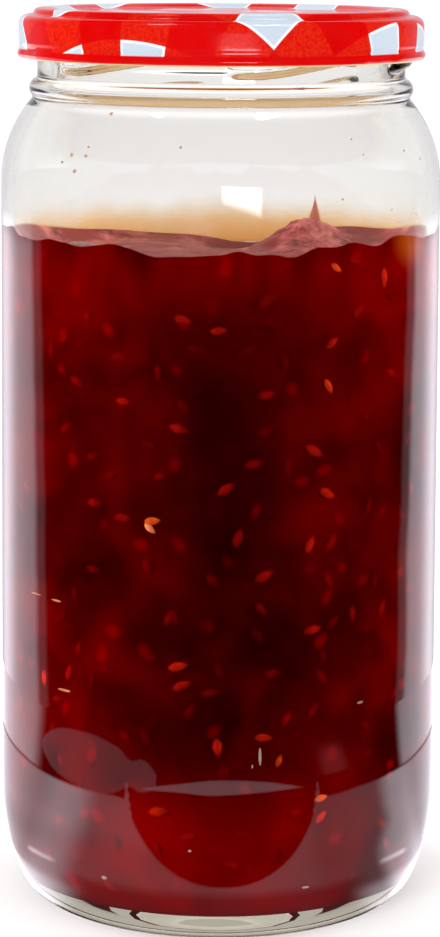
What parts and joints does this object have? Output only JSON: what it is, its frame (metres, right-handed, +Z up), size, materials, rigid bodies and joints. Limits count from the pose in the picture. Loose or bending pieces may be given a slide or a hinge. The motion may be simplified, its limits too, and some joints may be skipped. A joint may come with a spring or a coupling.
{
  "type": "jam jar",
  "caption": "Tall clear glass jar filled with dark red berry jam, shut by a pressed metal twist-off lid with a red and white gingham print.",
  "frame": {"origin": "middle of the base's contact ring, on the floor that the jar stands on", "axes": "+Z up through the middle of the lid, -Y towards the side that the picture shows, +X to its right"},
  "size_m": [0.0948, 0.0948, 0.1914],
  "materials": {
    "clear_glass": "gloss",
    "lid_lacquer": "gloss",
    "lid_inside": "satin",
    "jam": "gloss",
    "berry_seed": "satin",
    "syrup": "gloss"
  },
  "bodies": {
    "root": {"jar_glass": "clear_glass", "lid": "lid_lacquer", "jam": "jam"}
  },
  "joints": []
}
